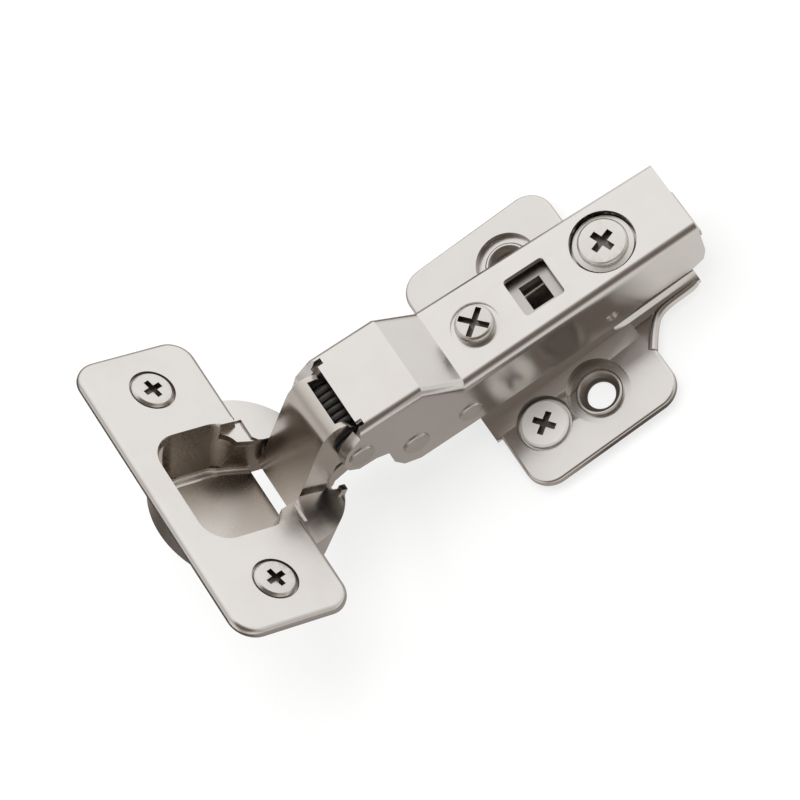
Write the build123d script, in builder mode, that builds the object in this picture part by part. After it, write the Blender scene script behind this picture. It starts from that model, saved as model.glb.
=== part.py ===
"""Clip-on concealed cup hinge for a cabinet door, shown about halfway open.

Frame: the cabinet's side panel is the plane z = 0, +X points into the cabinet along the arm,
+Y runs along the plate's wings and +Z points away from the panel. Millimetres.
The origin is midway between the plate's two screw holes.
"""
import math
import os

from build123d import *

os.makedirs("parts", exist_ok=True)

# Standard sizes of the 35 mm cup hinge and its 32 mm plate
HOLE_SPACING = 32.0
PLATE_HOLE_R = 2.8
CUP_R = 17.5
CUP_SCREW_SPACING = 45.0
CUP_OFFSET = 9.5
CUP_DEPTH = 11.5

# Sheet and running clearances
SHEET = 1.3
PIN_R = 1.5
RUN = 0.05
SLIDE_GAP = 0.05

# Pose of the arm and the cup, in degrees, and the pivots in the X-Z plane
ARM_PITCH = 5.85
FLANGE_PITCH = 40.2
ARM_ORIGIN = (-11.08, 22.46)
FLANGE_ORIGIN = (-65.37, 32.59)
P1 = (-41.0, 25.4)
P2 = (-32.1, 16.3)
P3 = (-20.9, 13.8)
CUP_PIN_A = (18.5, -7.4)
CUP_PIN_B = (24.0, -6.2)

# Mounting plate
BASE_T = 1.5
WING_X = (-19.5, 13.0)
WING_Y = 26.0
PLATE_TOP = 3.0
SADDLE_TOP = 9.6
TAIL_X = 27.0
TAIL_HALF = 10.2
LIP_TOP = 4.8
RING_R = 4.5
RING_T = 1.1
WELL_R = 6.0
ECC_XY = (-11.5, -15.0)
ECC_OFFSET = 2.0
ECC_HEAD_R = 4.6

# Arm
ARM_REAR = 43.0
CRANK = 7.3
ARM_FRONT = -28.0
ARM_HALF_REAR = 8.4
ARM_FLARE = 1.0
ARM_HALF_FRONT = ARM_HALF_REAR + ARM_FLARE
ARM_INSIDE = ARM_HALF_REAR - SHEET
OPENING_R = ARM_HALF_REAR - 2.15
FRONT_SCREW_R = 2.6
REAR_SCREW_AT = 27.6
CATCH_AT = (35.5, -8.0)

# Clip bracket and the saddle it straddles, both inside the arm
BRACKET_SHEET = 1.2
BRACKET_GAP = 0.3
SADDLE_GAP = 0.1
BRACKET_HALF = ARM_INSIDE - BRACKET_GAP
SADDLE_HALF = BRACKET_HALF - BRACKET_SHEET - SADDLE_GAP

# Links
LINK_GAP = 0.95
LINK_HALF = ARM_INSIDE - LINK_GAP
CHEEK_GAP = 0.75
CHEEK_INSIDE = LINK_HALF + CHEEK_GAP
LINK_SHEET = 1.2
COIL_R = 4.9
COIL_WIRE_R = 0.68
SLEEVE_R = COIL_R - COIL_WIRE_R - 0.1
INNER_HALF = 3.6


def unit(pitch):
    """Direction in the X-Z plane that falls by pitch degrees towards +X, and its normal."""
    c = math.cos(math.radians(pitch))
    s = math.sin(math.radians(pitch))
    return (c, -s), (s, c)


def at(origin, pitch, along, up):
    """Point in the X-Z plane from a distance along and above a pitched axis."""
    d, n = unit(pitch)
    return (origin[0] + along * d[0] + up * n[0], origin[1] + along * d[1] + up * n[1])


def side_plane(origin, pitch, y=0.0):
    """Plane whose sketch runs along the pitched axis and up, and extrudes along -Y."""
    d, n = unit(pitch)
    return Plane(origin=(origin[0], y, origin[1]), x_dir=(d[0], 0, d[1]), z_dir=(0, -1, 0))


def top_plane(origin, pitch, up=0.0):
    """Plane parallel to the pitched top face, at a height above its origin."""
    d, n = unit(pitch)
    p = at(origin, pitch, 0, up)
    return Plane(origin=(p[0], 0, p[1]), x_dir=(d[0], 0, d[1]), z_dir=(n[0], 0, n[1]))


def arm_top(up=0.0):
    return top_plane(ARM_ORIGIN, ARM_PITCH, up)


def arm_side(y=0.0):
    return side_plane(ARM_ORIGIN, ARM_PITCH, y)


def cup_top(up=0.0):
    return top_plane(FLANGE_ORIGIN, FLANGE_PITCH, up)


def cup_side(y=0.0):
    return side_plane(FLANGE_ORIGIN, FLANGE_PITCH, y)


def world_side(y=0.0):
    return side_plane((0.0, 0.0), 0.0, y)


def arm_xy(p):
    """Along and up distances of an X-Z point in the arm's own axes."""
    d, n = unit(ARM_PITCH)
    dx = p[0] - ARM_ORIGIN[0]
    dz = p[1] - ARM_ORIGIN[1]
    return (dx * d[0] + dz * d[1], dx * n[0] + dz * n[1])


C1 = at(FLANGE_ORIGIN, FLANGE_PITCH, *CUP_PIN_A)
C2 = at(FLANGE_ORIGIN, FLANGE_PITCH, *CUP_PIN_B)
PLATE_HOLES = [(0, HOLE_SPACING / 2), (0, -HOLE_SPACING / 2)]


def finish(builder, name):
    """Name the solid and write its file."""
    builder.part.label = name
    export_step(builder.part, f"parts/{name}.step")


def rivet(name, p, half, head_r, head_t, r=PIN_R):
    """Cross pin along Y with a low head on each side of the sheets it holds."""
    with BuildPart() as pin:
        with BuildSketch(world_side()):
            with Locations(p):
                Circle(r)
        extrude(amount=half, both=True)
        for sign in (-1, 1):
            with BuildSketch(world_side(sign * half)):
                with Locations(p):
                    Circle(head_r)
            extrude(amount=-sign * head_t)
        rims = pin.faces().sort_by(Axis.Y)
        chamfer(rims[0].edges(), head_t * 0.6)
        chamfer(rims[-1].edges(), head_t * 0.6)
    finish(pin, name)


# Mounting plate, the layer that is screwed to the cabinet
with BuildPart() as mounting_plate:
    with BuildSketch(Plane.XY):
        with Locations(((WING_X[0] + WING_X[1]) / 2, 0)):
            RectangleRounded(WING_X[1] - WING_X[0] - 2.0, 2 * WING_Y - 1.4, 4.0)
        with Locations((16.0, 0)):
            RectangleRounded(20.0, 15.0, 3.0)
    extrude(amount=BASE_T)
    with BuildSketch(Plane.XY):
        with Locations(*PLATE_HOLES):
            Circle(RING_R)
    extrude(amount=BASE_T + RING_T)
    ring_tops = mounting_plate.faces().sort_by(Axis.Z)[-2:]
    chamfer(ring_tops.edges(), 0.3)
    with BuildSketch(Plane.XY.offset(-1)):
        with Locations(*PLATE_HOLES):
            Circle(PLATE_HOLE_R)
    extrude(amount=6, mode=Mode.SUBTRACT)
    for x, y in PLATE_HOLES:
        with BuildSketch(Plane.XY.offset(1.0)):
            with Locations((x, y)):
                Circle(PLATE_HOLE_R)
        with BuildSketch(Plane.XY.offset(BASE_T + RING_T)):
            with Locations((x, y)):
                Circle(RING_R - 0.6)
        loft(mode=Mode.SUBTRACT)
    # Slot that the eccentric screw's pin works in
    with BuildSketch(Plane.XY.offset(0.4)):
        with Locations((ECC_XY[0] + ECC_OFFSET - 0.35, ECC_XY[1])):
            SlotCenterToCenter(1.6, 2.9)
    extrude(amount=2, mode=Mode.SUBTRACT)
finish(mounting_plate, "mounting_plate")

# Plate carriage, the layer that slides for height and carries the saddle
Z0 = BASE_T + SLIDE_GAP
with BuildPart() as plate_carriage:
    with BuildSketch(Plane.XY.offset(Z0)):
        with Locations(((WING_X[0] + WING_X[1]) / 2, 0)):
            RectangleRounded(WING_X[1] - WING_X[0], 2 * WING_Y, 5.0)
        with Locations((TAIL_X - 11.0, 0)):
            RectangleRounded(22.0, 2 * TAIL_HALF, 2.5)
        with BuildLine():
            Polyline((12.0, -15.5), (13.0, -15.5), (14.4, -13.2), (17.8, -TAIL_HALF), (17.8, TAIL_HALF),
                     (14.4, 13.2), (13.0, 15.5), (12.0, 15.5), close=True)
        make_face()
    extrude(amount=PLATE_TOP - Z0)
    fillet(plate_carriage.faces().sort_by(Axis.Z)[-1].edges(), 0.6)
    # Saddle with flared feet, open at its centre like the pressed one
    with BuildSketch(Plane.YZ.offset(-20.5)):
        with BuildLine():
            Polyline(
                (-12.5, PLATE_TOP - 0.4), (-12.0, PLATE_TOP), (-9.0, PLATE_TOP + 0.7),
                (-7.0, PLATE_TOP + 1.8), (-SADDLE_HALF, PLATE_TOP + 3.4), (-SADDLE_HALF, SADDLE_TOP - 1),
                (-SADDLE_HALF + 1, SADDLE_TOP), (SADDLE_HALF - 1, SADDLE_TOP),
                (SADDLE_HALF, SADDLE_TOP - 1), (SADDLE_HALF, PLATE_TOP + 3.4), (7.0, PLATE_TOP + 1.8),
                (9.0, PLATE_TOP + 0.7), (12.0, PLATE_TOP), (12.5, PLATE_TOP - 0.4), close=True,
            )
        make_face()
    extrude(amount=32.5)
    with BuildSketch(Plane.YZ.offset(-1.0)):
        with BuildLine():
            Polyline(
                (-9.0, PLATE_TOP - 0.4), (-7.6, PLATE_TOP + 1.0), (-SADDLE_HALF, PLATE_TOP + 2.4),
                (-SADDLE_HALF, SADDLE_TOP - 1.6), (-SADDLE_HALF + 1, SADDLE_TOP - 0.6),
                (SADDLE_HALF - 1, SADDLE_TOP - 0.6), (SADDLE_HALF, SADDLE_TOP - 1.6),
                (SADDLE_HALF, PLATE_TOP + 2.4), (7.6, PLATE_TOP + 1.0), (9.0, PLATE_TOP - 0.4), close=True,
            )
        make_face()
    extrude(amount=20.0)
    with BuildSketch(Plane.YZ.offset(9.0)):
        with BuildLine():
            Polyline(
                (-TAIL_HALF + 0.4, 2.0), (-TAIL_HALF + 0.4, 3.2), (-TAIL_HALF + 1.3, 3.7),
                (-8.2, LIP_TOP - 0.2), (-7.2, LIP_TOP), (7.2, LIP_TOP), (8.2, LIP_TOP - 0.2),
                (TAIL_HALF - 1.3, 3.7), (TAIL_HALF - 0.4, 3.2), (TAIL_HALF - 0.4, 2.0), close=True,
            )
        make_face()
    extrude(amount=TAIL_X - 9.0)
    # Hollow under the saddle
    with BuildSketch(Plane.YZ.offset(-18.0)):
        with Locations((0, (Z0 + SADDLE_TOP - 3.0) / 2 - 0.1)):
            Rectangle(2 * SADDLE_HALF - 3.4, SADDLE_TOP - 3.0 - Z0 + 0.2)
    extrude(amount=TAIL_X + 20, mode=Mode.SUBTRACT)
    # Front hook
    with BuildSketch(world_side()):
        with BuildLine():
            Polyline((-20.5, 5.0), (-22.4, 5.0), (-22.4, 9.2), (-20.5, 9.2), close=True)
        make_face()
    extrude(amount=4.5, both=True)
    # Wells round the cabinet screws, and the seat of the eccentric screw
    with BuildSketch(Plane.XY.offset(Z0 - 0.1)):
        with Locations(*PLATE_HOLES):
            SlotCenterToCenter(0.6, 2 * WELL_R, rotation=90)
        with Locations(ECC_XY):
            Circle(ECC_HEAD_R + 0.75)
    extrude(amount=5, mode=Mode.SUBTRACT)
finish(plate_carriage, "plate_carriage")

# Eccentric height screw: its offset pin works in the mounting plate's slot
with BuildPart() as height_screw:
    with BuildSketch(Plane.XY.offset(Z0)):
        with Locations(ECC_XY):
            Circle(ECC_HEAD_R)
    extrude(amount=1.75)
    with BuildSketch(Plane.XY.offset(Z0)):
        with Locations(ECC_XY):
            Circle(ECC_HEAD_R + 0.4)
    extrude(amount=0.5)
    chamfer(height_screw.faces().sort_by(Axis.Z)[-1].edges(), 0.35)
    with BuildSketch(Plane.XY.offset(0.5)):
        with Locations((ECC_XY[0] + ECC_OFFSET, ECC_XY[1])):
            Circle(1.15)
    extrude(amount=Z0 - 0.5)
    with BuildSketch(Plane.XY.offset(Z0 + 0.4)):
        with Locations(ECC_XY):
            Rectangle(4.6, 1.2, rotation=35)
            Rectangle(4.6, 1.2, rotation=125)
    extrude(amount=3, mode=Mode.SUBTRACT)
finish(height_screw, "height_screw")

# Hinge arm, a cranked channel pressed from sheet
SIDE = [
    (ARM_REAR - 3.5, -12.7), (ARM_REAR - 0.8, -11.6), (ARM_REAR, -9.0), (ARM_REAR, 0.0),
    (-7.5, 0.0), (-15.0, CRANK - 0.2), (ARM_FRONT, CRANK), (ARM_FRONT - 0.9, CRANK - 1.6),
    (-32.2, 3.4), (-33.8, 0.4), (-33.4, -2.4), (-31.6, -4.2), (-28.0, -4.4), (-25.4, -5.6),
    (-25.4, -9.8), (-24.0, -12.8), (-20.8, -14.5), (-12.0, -14.4), (24.0, -14.0), (29.0, -12.8),
]
INSIDE = [
    (ARM_REAR + 1, -20.0), (ARM_REAR + 1, -SHEET), (-7.0, -SHEET), (-14.4, CRANK - 0.2 - SHEET),
    (ARM_FRONT, CRANK - SHEET), (ARM_FRONT, 12.0), (-40.0, 12.0), (-40.0, -20.0),
]
with BuildPart() as hinge_arm:
    with BuildSketch(arm_side()):
        with BuildLine():
            Polyline(*SIDE, close=True)
        make_face()
    extrude(amount=12, both=True)
    with BuildSketch(arm_top(-30)):
        with BuildLine():
            Polyline(
                (-40, -ARM_HALF_FRONT), (-9, -ARM_HALF_FRONT), (ARM_REAR + 1, -ARM_HALF_REAR),
                (ARM_REAR + 1, ARM_HALF_REAR), (-9, ARM_HALF_FRONT), (-40, ARM_HALF_FRONT), close=True,
            )
        make_face()
    extrude(amount=60, mode=Mode.INTERSECT)
    shoulder = [
        e for e in hinge_arm.edges()
        if abs(abs(e.center().Y) - (ARM_HALF_FRONT + ARM_HALF_REAR) / 2) < 0.8
        and e.length > 6 and arm_xy((e.center().X, e.center().Z))[1] > -0.5
        and arm_xy((e.center().X, e.center().Z))[0] > ARM_FRONT
    ]
    fillet(shoulder, 2.0)
    with BuildSketch(arm_side()):
        with BuildLine():
            Polyline(*INSIDE, close=True)
        make_face()
    extrude(amount=ARM_INSIDE, both=True, mode=Mode.SUBTRACT)
    # Front screw seat and bore, window and rear opening
    with BuildSketch(arm_top(-0.5)):
        Circle(4.6)
    extrude(amount=3, mode=Mode.SUBTRACT)
    with BuildSketch(arm_top(-3)):
        Circle(FRONT_SCREW_R + RUN)
        with Locations((12.75, 0)):
            RectangleRounded(8.5, 8.6, 0.8)
        with Locations((REAR_SCREW_AT, 0)):
            Circle(OPENING_R)
    extrude(amount=6, mode=Mode.SUBTRACT)
    # Relief notches at the front corners, and the locating dimples at the rear
    with BuildSketch(arm_top(CRANK - 3.4)):
        with Locations((ARM_FRONT, 7.3), (ARM_FRONT, -7.3)):
            Rectangle(2.4, 1.3)
    extrude(amount=5, mode=Mode.SUBTRACT)
    for sign in (-1, 1):
        with BuildSketch(arm_side(sign * (ARM_HALF_REAR - 0.2))):
            with Locations((22.2, -10.0)):
                Circle(1.3)
        extrude(amount=-sign * 3, mode=Mode.SUBTRACT)
    # Rivet bores
    with BuildSketch(world_side()):
        with Locations(P1, P2, P3):
            Circle(PIN_R)
    extrude(amount=12, both=True, mode=Mode.SUBTRACT)
finish(hinge_arm, "hinge_arm")

# Clip bracket inside the arm, straddling the saddle
with BuildPart() as clip_bracket:
    with BuildSketch(arm_side()):
        with BuildLine():
            Polyline((-3.2, -5.0), (-2.0, -3.9), (38.0, -3.9), (40.0, -5.5), (40.0, -10.2), (37.0, -11.0),
                     (20.0, -12.0), (8.0, -12.8), (-3.2, -13.0), close=True)
        make_face()
    extrude(amount=BRACKET_HALF, both=True)
    with BuildSketch(arm_side()):
        with BuildLine():
            Polyline((-6.5, -20.0), (-6.5, -5.1), (41.0, -5.1), (41.0, -20.0), close=True)
        make_face()
    extrude(amount=BRACKET_HALF - BRACKET_SHEET, both=True, mode=Mode.SUBTRACT)
    with BuildSketch(arm_top(-6)):
        with Locations((-2.0, 0)):
            SlotCenterToCenter(8.8, 2 * (FRONT_SCREW_R + 0.4))
        with Locations((REAR_SCREW_AT, 0)):
            SlotCenterToCenter(5.0, 6.0)
        with Locations((12.75, 0)):
            Rectangle(5.0, 6.0)
    extrude(amount=4, mode=Mode.SUBTRACT)
    with BuildSketch(arm_side()):
        with Locations(CATCH_AT):
            Circle(1.2)
    extrude(amount=10, both=True, mode=Mode.SUBTRACT)
finish(clip_bracket, "clip_bracket")

# Depth plate between the bracket and the arm
with BuildPart() as depth_plate:
    with BuildSketch(arm_top(-3.85)):
        with Locations((21.5, 0)):
            RectangleRounded(31.0, 2 * (ARM_INSIDE - 1.3), 1.5)
    extrude(amount=1.2)
    with BuildSketch(arm_top(-3.85)):
        with Locations((REAR_SCREW_AT, 0)):
            Circle(3.6)
    extrude(amount=3.85 - 1.5)
    with BuildSketch(arm_top(-4.5)):
        with Locations((REAR_SCREW_AT, 0)):
            Circle(2.2 + RUN)
        with Locations((12.75, 0)):
            Rectangle(4.4, 5.4)
    extrude(amount=4, mode=Mode.SUBTRACT)
finish(depth_plate, "depth_plate")

# Front adjusting screw, with a domed slotted head
with BuildPart() as side_screw:
    with BuildSketch(arm_top(-0.45)):
        Circle(3.75)
    extrude(amount=1.85)
    fillet(side_screw.faces().sort_by(Axis.Z)[-1].edges(), 0.9)
    with BuildSketch(arm_top(-8.0)):
        Circle(FRONT_SCREW_R)
    extrude(amount=7.6)
    with BuildSketch(arm_top(-0.2)):
        Rectangle(6.0, 1.1, rotation=40)
        Rectangle(6.0, 1.1, rotation=130)
    extrude(amount=3, mode=Mode.SUBTRACT)
finish(side_screw, "side_screw")

# Rear depth screw, with a broad head in the arm's opening
with BuildPart() as depth_screw:
    with BuildSketch(arm_top(-1.45)):
        with Locations((REAR_SCREW_AT, 0)):
            Circle(OPENING_R - 0.55)
    extrude(amount=0.6)
    with BuildSketch(arm_top(-1.45)):
        with Locations((REAR_SCREW_AT, 0)):
            Circle(OPENING_R - 1.55)
    extrude(amount=1.85)
    chamfer(depth_screw.faces().sort_by(Axis.Z)[-1].edges(), 0.4)
    with BuildSketch(arm_top(-9.0)):
        with Locations((REAR_SCREW_AT, 0)):
            Circle(2.2)
    extrude(amount=7.6)
    with BuildSketch(arm_top(-1.2)):
        with Locations((REAR_SCREW_AT, 0)):
            Rectangle(4.8, 1.3, rotation=20)
            Rectangle(4.8, 1.3, rotation=110)
    extrude(amount=3, mode=Mode.SUBTRACT)
finish(depth_screw, "depth_screw")

# Clip catch at the rear, pressed to release the arm, and its pivot
with BuildPart() as catch_pin:
    with BuildSketch(arm_side()):
        with Locations(CATCH_AT):
            Circle(1.2)
    extrude(amount=BRACKET_HALF, both=True)
finish(catch_pin, "catch_pin")

with BuildPart() as clip_catch:
    with BuildSketch(arm_side()):
        with BuildLine():
            Polyline((33.0, -10.0), (33.0, -6.2), (36.5, -5.6), (40.8, -7.4), (44.4, -8.4), (44.4, -10.0),
                     (40.5, -10.4), (38.0, -10.9), close=True)
        make_face()
        with Locations(CATCH_AT):
            Circle(1.2 + RUN, mode=Mode.SUBTRACT)
    extrude(amount=SADDLE_HALF - 0.5, both=True)
finish(clip_catch, "clip_catch")

# Rivets that join the arm to the links and the damper
EAR = ARM_HALF_FRONT
rivet("outer_link_rivet", P1, EAR, 2.6, 0.4)
rivet("inner_link_rivet", P2, EAR, 2.7, 0.4)
rivet("damper_rivet", P3, EAR, 2.4, 0.4)

# Damper housing and its piston, under the arm's crank
PISTON_UP = -1.2
D_AT = arm_xy(P3)
with BuildPart() as damper_housing:
    with BuildSketch(arm_side()):
        with BuildLine():
            Polyline((-18.0, 2.6), (-15.0, 2.6), (-7.0, -2.0), (-6.2, -3.4), (-6.6, -11.4), (-12.0, -11.4),
                     (-13.0, -7.0), (-15.0, -4.4), (-18.0, -4.4), close=True)
        make_face()
    extrude(amount=ARM_INSIDE - 1.9, both=True)
    with BuildSketch(arm_side()):
        with Locations(D_AT):
            Circle(PIN_R)
    extrude(amount=6, both=True, mode=Mode.SUBTRACT)
    with BuildSketch(Plane(arm_side().from_local_coords((-19.0, PISTON_UP, 0)),
                           x_dir=(0, 1, 0), z_dir=arm_side().x_dir)):
        Circle(1.6 + RUN)
    extrude(amount=9.0, mode=Mode.SUBTRACT)
finish(damper_housing, "damper_housing")

with BuildPart() as damper_piston:
    with BuildSketch(Plane(arm_side().from_local_coords((-21.0, PISTON_UP, 0)),
                           x_dir=(0, 1, 0), z_dir=arm_side().x_dir)):
        Circle(1.6)
    extrude(amount=8.0)
finish(damper_piston, "damper_piston")

# Outer link, a pressed channel from the arm's nose into the cup
OUTER = [
    (-58.2, 16.0), (-46.6, 30.5), (-45.4, 31.9), (-44.0, 32.8), (-42.5, 33.2), (-41.2, 33.15),
    (-39.6, 32.2), (-37.9, 28.2),
    (-37.7, 24.4), (-39.2, 22.2), (-42.2, 21.6), (-46.2, 21.4), (-53.0, 13.7), (-54.6, 12.9),
    (-56.6, 12.9), (-58.2, 14.0),
]
OUTER_IN = [
    (-58.0, 12.0), (-57.2, 15.4), (-45.7, 29.6), (-44.5, 31.0), (-43.3, 31.7), (-41.5, 31.9), (-41.2, 34.5),
    (-30.0, 34.5), (-30.0, 10.0), (-50.0, 8.0),
]
with BuildPart() as outer_link:
    with BuildSketch(world_side()):
        with BuildLine():
            Polyline(*OUTER, close=True)
        make_face()
    extrude(amount=LINK_HALF, both=True)
    with BuildSketch(world_side()):
        with BuildLine():
            Polyline(*OUTER_IN, close=True)
        make_face()
    extrude(amount=LINK_HALF - LINK_SHEET, both=True, mode=Mode.SUBTRACT)
    with BuildSketch(world_side()):
        with Locations(P1, C1):
            Circle(PIN_R + RUN)
    extrude(amount=10, both=True, mode=Mode.SUBTRACT)
finish(outer_link, "outer_link")

# Sleeve on the outer rivet, and the closing spring wound round it
with BuildPart() as spring_sleeve:
    with BuildSketch(world_side()):
        with Locations(P1):
            Circle(SLEEVE_R)
            Circle(PIN_R, mode=Mode.SUBTRACT)
    extrude(amount=LINK_HALF - LINK_SHEET - 0.1, both=True)
finish(spring_sleeve, "spring_sleeve")

# Black washers between the link and the arm's ears
with BuildPart() as link_washers:
    for sign in (-1, 1):
        with BuildSketch(world_side(sign * (LINK_HALF + 0.1))):
            with Locations(P1):
                Circle(3.5)
                Circle(PIN_R, mode=Mode.SUBTRACT)
        extrude(amount=-sign * (LINK_GAP - 0.15))
finish(link_washers, "link_washers")

COILS = 5.5
PITCH = 1.5
with BuildPart() as closing_spring:
    with BuildLine():
        coil = Helix(pitch=PITCH, height=COILS * PITCH, radius=COIL_R,
                     center=(P1[0], COILS * PITCH / 2, P1[1]), direction=(0, -1, 0))
    with BuildSketch(Plane(origin=coil @ 0, z_dir=coil % 0)):
        Circle(COIL_WIRE_R)
    sweep(path=coil, is_frenet=True)
finish(closing_spring, "closing_spring")

# Inner link, and the pin it carries inside the cup
INNER_PITCH = -math.degrees(math.atan2(P2[1] - C2[1], P2[0] - C2[0]))
INNER_LEN = math.dist(P2, C2)
with BuildPart() as inner_link:
    with BuildSketch(side_plane(C2, INNER_PITCH)):
        Circle(2.6)
        with Locations((INNER_LEN, 0)):
            Circle(3.3)
        with Locations((INNER_LEN / 2, 0)):
            Rectangle(INNER_LEN, 3.2)
        Circle(1.25, mode=Mode.SUBTRACT)
        with Locations((INNER_LEN, 0)):
            Circle(PIN_R + RUN, mode=Mode.SUBTRACT)
    extrude(amount=INNER_HALF, both=True)
finish(inner_link, "inner_link")

with BuildPart() as inner_link_pin:
    with BuildSketch(world_side()):
        with Locations(C2):
            Circle(1.25)
    extrude(amount=CHEEK_INSIDE - 0.7, both=True)
finish(inner_link_pin, "inner_link_pin")

# Hinge cup with its flange
FLANGE_T = 1.6
with BuildPart() as hinge_cup:
    with BuildSketch(cup_top(-FLANGE_T)):
        with Locations((-0.2, 0)):
            RectangleRounded(24.6, 64.0, 4.8)
    extrude(amount=FLANGE_T)
    fillet(hinge_cup.faces().sort_by(Axis(origin=(0, 0, 0), direction=cup_top().z_dir))[-1].edges(), 1.2)
    with BuildSketch(cup_top(-CUP_DEPTH)):
        with Locations((CUP_OFFSET, 0)):
            Circle(CUP_R)
    extrude(amount=CUP_DEPTH - FLANGE_T + 0.1)
    # Drawn pocket with sloping walls
    with BuildSketch(cup_top(-10.3)):
        with Locations((3.5, 0)):
            RectangleRounded(15.0, 17.0, 3.4)
    with BuildSketch(cup_top(0.1)):
        with Locations((2.0, 0)):
            RectangleRounded(18.4, 24.4, 5.4)
    loft(mode=Mode.SUBTRACT)
    with BuildSketch(cup_top(-10.3)):
        with BuildLine():
            Polyline((8.5, -8.2), (10.0, -8.2), (15.5, -CHEEK_INSIDE), (30.0, -CHEEK_INSIDE),
                     (30.0, CHEEK_INSIDE), (15.5, CHEEK_INSIDE),
                     (10.0, 8.2), (8.5, 8.2), close=True)
        make_face()
    extrude(amount=12, mode=Mode.SUBTRACT)
    with BuildSketch(cup_top(-3.2)):
        with BuildLine():
            Polyline((8.5, -12.2), (9.6, -12.2), (14.5, -7.2), (14.5, 7.2), (9.6, 12.2), (8.5, 12.2), close=True)
        make_face()
    extrude(amount=6, mode=Mode.SUBTRACT)
    with BuildSketch(cup_top(-2.0)):
        with Locations((11.2, 0)):
            Rectangle(5.0, 24.4)
    extrude(amount=4, mode=Mode.SUBTRACT)
    with BuildSketch(cup_top(-14)):
        with Locations((15.3 + 8, 0)):
            Rectangle(16.0, 2 * CHEEK_INSIDE)
    extrude(amount=8, mode=Mode.SUBTRACT)
    # Cheeks that fall away towards the arm, each with a prong at its tip
    with BuildSketch(cup_side()):
        with BuildLine():
            Polyline((12.4, -1.55), (12.4, 1.0), (28.5, 1.0), (28.5, -4.4), (27.6, -3.8))
            ThreePointArc((27.6, -3.8), (21.2, -2.15), (12.4, -1.55))
        make_face()
    extrude(amount=20, both=True, mode=Mode.SUBTRACT)
    for sign in (-1, 1):
        with BuildSketch(cup_top(-6.0)):
            with Locations((24.6, sign * (CHEEK_INSIDE + 0.6))):
                Rectangle(1.3, 1.2)
        extrude(amount=4.2)
    # Screw seats
    with BuildSketch(cup_top(-0.9)):
        with Locations((0, CUP_SCREW_SPACING / 2), (0, -CUP_SCREW_SPACING / 2)):
            Circle(4.4)
    extrude(amount=2, mode=Mode.SUBTRACT)
    with BuildSketch(cup_top(-3)):
        with Locations((0, CUP_SCREW_SPACING / 2), (0, -CUP_SCREW_SPACING / 2)):
            Circle(2.3)
    extrude(amount=4, mode=Mode.SUBTRACT)
    # Bore for the cup pin, blind into both cheeks
    with BuildSketch(world_side()):
        with Locations(C1):
            Circle(PIN_R)
    extrude(amount=10.0, both=True, mode=Mode.SUBTRACT)
finish(hinge_cup, "hinge_cup")

with BuildPart() as cup_pin:
    with BuildSketch(world_side()):
        with Locations(C1):
            Circle(PIN_R)
    extrude(amount=10.0, both=True)
finish(cup_pin, "cup_pin")

# Cup screws, one on each wing of the flange, with a neck through the sheet
CUP_SCREW_R = 2.0
NECK_END = FLANGE_T + 0.3
with BuildPart() as cup_screws:
    for y in (CUP_SCREW_SPACING / 2, -CUP_SCREW_SPACING / 2):
        with BuildSketch(cup_top(-0.9)):
            with Locations((0, y)):
                Circle(4.0)
        extrude(amount=1.3)
        with BuildSketch(cup_top(-12.5)):
            with Locations((0, y)):
                Circle(CUP_SCREW_R)
        extrude(amount=11.0)
        with BuildSketch(cup_top(-NECK_END)):
            with Locations((0, y)):
                Circle(CUP_SCREW_R + 0.2)
        extrude(amount=NECK_END - 0.8)
    heads = cup_screws.faces().sort_by(Axis(origin=(0, 0, 0), direction=cup_top().z_dir))[-2:]
    chamfer(heads.edges(), 0.5)
    for y in (CUP_SCREW_SPACING / 2, -CUP_SCREW_SPACING / 2):
        with BuildSketch(cup_top(-1.1)):
            with Locations((0, y)):
                Rectangle(3.9, 1.1, rotation=15)
                Rectangle(3.9, 1.1, rotation=105)
        extrude(amount=3, mode=Mode.SUBTRACT)
finish(cup_screws, "cup_screws")
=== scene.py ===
"""Looks for the concealed cup hinge: plated sheet steel, blackened spring, plain studio.

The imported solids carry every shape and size. This script dresses them, adds the small forms
that they leave out (screw threads, tail lips, and the round, walls and corners of the cup's
pocket) and sets the studio.
"""
from __future__ import annotations

import logging  # noqa: E402
import math  # noqa: E402
from dataclasses import dataclass  # noqa: E402
from enum import Enum  # noqa: E402

import bmesh  # noqa: E402
import bpy  # noqa: E402
from mathutils import Matrix, Vector  # noqa: E402


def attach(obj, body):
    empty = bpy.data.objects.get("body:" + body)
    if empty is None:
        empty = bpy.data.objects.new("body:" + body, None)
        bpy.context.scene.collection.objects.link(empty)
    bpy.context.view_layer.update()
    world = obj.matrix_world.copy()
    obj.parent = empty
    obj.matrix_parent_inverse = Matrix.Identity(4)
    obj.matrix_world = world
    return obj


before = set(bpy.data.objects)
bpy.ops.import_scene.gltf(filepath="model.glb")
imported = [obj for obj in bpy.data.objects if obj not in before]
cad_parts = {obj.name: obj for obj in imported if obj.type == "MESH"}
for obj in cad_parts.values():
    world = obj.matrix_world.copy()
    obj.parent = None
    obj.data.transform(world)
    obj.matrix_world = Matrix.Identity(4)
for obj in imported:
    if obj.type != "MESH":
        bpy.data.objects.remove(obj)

LOG = logging.getLogger("hinge")
MM = 0.001
Colour = tuple[float, float, float]
Place = tuple[float, float, float]
Outline = tuple[tuple[float, float], ...]
Tones = tuple[tuple[float, Colour], ...]
Socket = bpy.types.NodeSocket

WHITE = (1.0, 1.0, 1.0, 1.0)
NODE_SPACING = 180
GRAIN_DEPTH = 0.0001
WELD_REACH = 0.004
SHARP_ANGLE = math.radians(38)
PIECE_SHARP_ANGLE = math.radians(55)


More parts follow.
